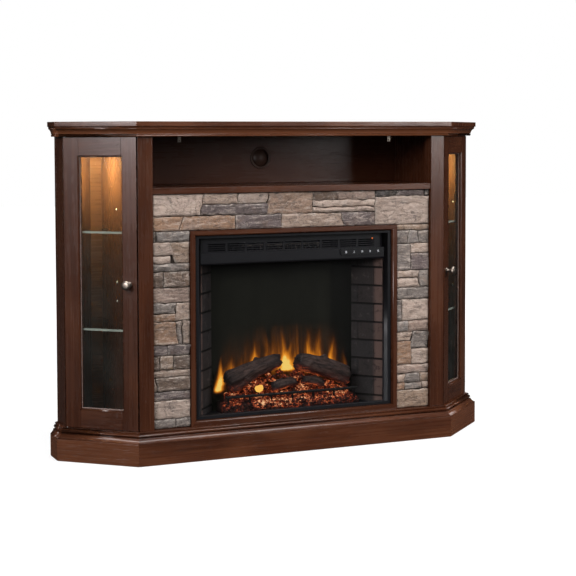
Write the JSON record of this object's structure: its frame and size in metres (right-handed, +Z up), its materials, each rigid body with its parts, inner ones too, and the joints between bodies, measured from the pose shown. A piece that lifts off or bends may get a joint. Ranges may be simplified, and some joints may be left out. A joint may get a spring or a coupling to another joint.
{
  "type": "corner fireplace",
  "caption": "Five-sided corner media console with two glass-door cabinets, an open media shelf, a split-stone surround and an electric firebox.",
  "frame": {"origin": "on the floor, at the centre of the overall width and depth", "axes": "+X to the viewer's right along the front, +Y to the back, +Z up"},
  "size_m": [1.327, 0.4, 0.93],
  "materials": {
    "dark_wood": "satin stained veneer",
    "stone": "split face",
    "door_glass": "clear polished",
    "fire_glass": "clear polished",
    "nickel": "satin nickel",
    "steel": "plain",
    "black_metal": "matte black paint",
    "black_plastic": "matte",
    "brown_plastic": "matte",
    "white_plastic": "satin",
    "board": "lacquered",
    "brick": "rough, mortar grooves",
    "ember": "rough, translucent",
    "log": "rough bark",
    "heater": "fired"
  },
  "bodies": {
    "cabinet": {"top_panel": "dark_wood", "crown_moulding": "dark_wood", "head_rails": "dark_wood", "plinth_boards": "dark_wood", "plinth_moulding": "dark_wood", "bottom_deck": "dark_wood", "front_posts": "dark_wood", "partitions": "dark_wood", "side_panels": "dark_wood", "rear_corner_panels": "dark_wood", "rear_frame": "dark_wood", "cabinet_ceilings": "dark_wood", "media_back_panel": "dark_wood", "media_shelf": "dark_wood", "top_brackets": "steel", "firebox_trim": "dark_wood", "left_stone_panel": "stone", "right_stone_panel": "stone", "top_stone_panel": "stone", "pivot_sockets": "steel", "door_catches": "brown_plastic", "glass_shelves": "door_glass", "shelf_pins": "nickel", "puck_lamps": "white_plastic", "insert_runners": "dark_wood", "insert_housing": "black_metal", "cord_gland": "black_plastic", "face_frame": "black_metal", "front_glass": "fire_glass", "heater_hood": "black_metal", "control_strip": "black_plastic", "control_board": "board", "brick_panels": "brick", "flame_screen": "black_metal", "ember_bed": "ember", "log_grate": "black_metal", "left_log": "log", "right_log": "log", "front_logs": "log", "rotor_drive": "steel", "lamp_strip": "white_plastic", "blower_case": "steel", "heating_element": "heater"},
    "left_door": {"left_door_frame": "dark_wood", "left_door_glass": "door_glass", "left_glazing_strips": "dark_wood", "left_knob": "nickel", "left_pivots": "steel"},
    "right_door": {"right_door_frame": "dark_wood", "right_door_glass": "door_glass", "right_glazing_strips": "dark_wood", "right_knob": "nickel", "right_pivots": "steel"},
    "power_button": {"power_button": "white_plastic"},
    "flame_button": {"flame_button": "white_plastic"},
    "timer_button": {"timer_button": "white_plastic"},
    "low_heat_button": {"low_heat_button": "white_plastic"},
    "high_heat_button": {"high_heat_button": "white_plastic"},
    "flame_rotor": {"flame_rotor": "steel"},
    "blower_wheel": {"blower_wheel": "steel"}
  },
  "joints": [
    {"name": "left_door_hinge", "type": "hinge", "parent": "cabinet", "child": "left_door", "pos_m": [-0.62985, -0.02102, 0.49], "axis": [0, 0, -1], "range_deg": [0, 100]},
    {"name": "right_door_hinge", "type": "hinge", "parent": "cabinet", "child": "right_door", "pos_m": [0.62985, -0.02102, 0.49], "axis": [0, 0, 1], "range_deg": [0, 100]},
    {"name": "power_button_press", "type": "slide", "parent": "cabinet", "child": "power_button", "axis": [0, 1, 0], "range_m": [0, 0.0012], "stiffness_N_per_m": 600},
    {"name": "flame_button_press", "type": "slide", "parent": "cabinet", "child": "flame_button", "axis": [0, 1, 0], "range_m": [0, 0.0012], "stiffness_N_per_m": 600},
    {"name": "timer_button_press", "type": "slide", "parent": "cabinet", "child": "timer_button", "axis": [0, 1, 0], "range_m": [0, 0.0012], "stiffness_N_per_m": 600},
    {"name": "low_heat_button_press", "type": "slide", "parent": "cabinet", "child": "low_heat_button", "axis": [0, 1, 0], "range_m": [0, 0.0012], "stiffness_N_per_m": 600},
    {"name": "high_heat_button_press", "type": "slide", "parent": "cabinet", "child": "high_heat_button", "axis": [0, 1, 0], "range_m": [0, 0.0012], "stiffness_N_per_m": 600},
    {"name": "flame_rotor_spin", "type": "hinge", "parent": "cabinet", "child": "flame_rotor", "pos_m": [0, -0.025, 0.166], "axis": [1, 0, 0], "continuous": true},
    {"name": "blower_wheel_spin", "type": "hinge", "parent": "cabinet", "child": "blower_wheel", "pos_m": [-0.02, -0.064, 0.569], "axis": [1, 0, 0], "continuous": true}
  ]
}
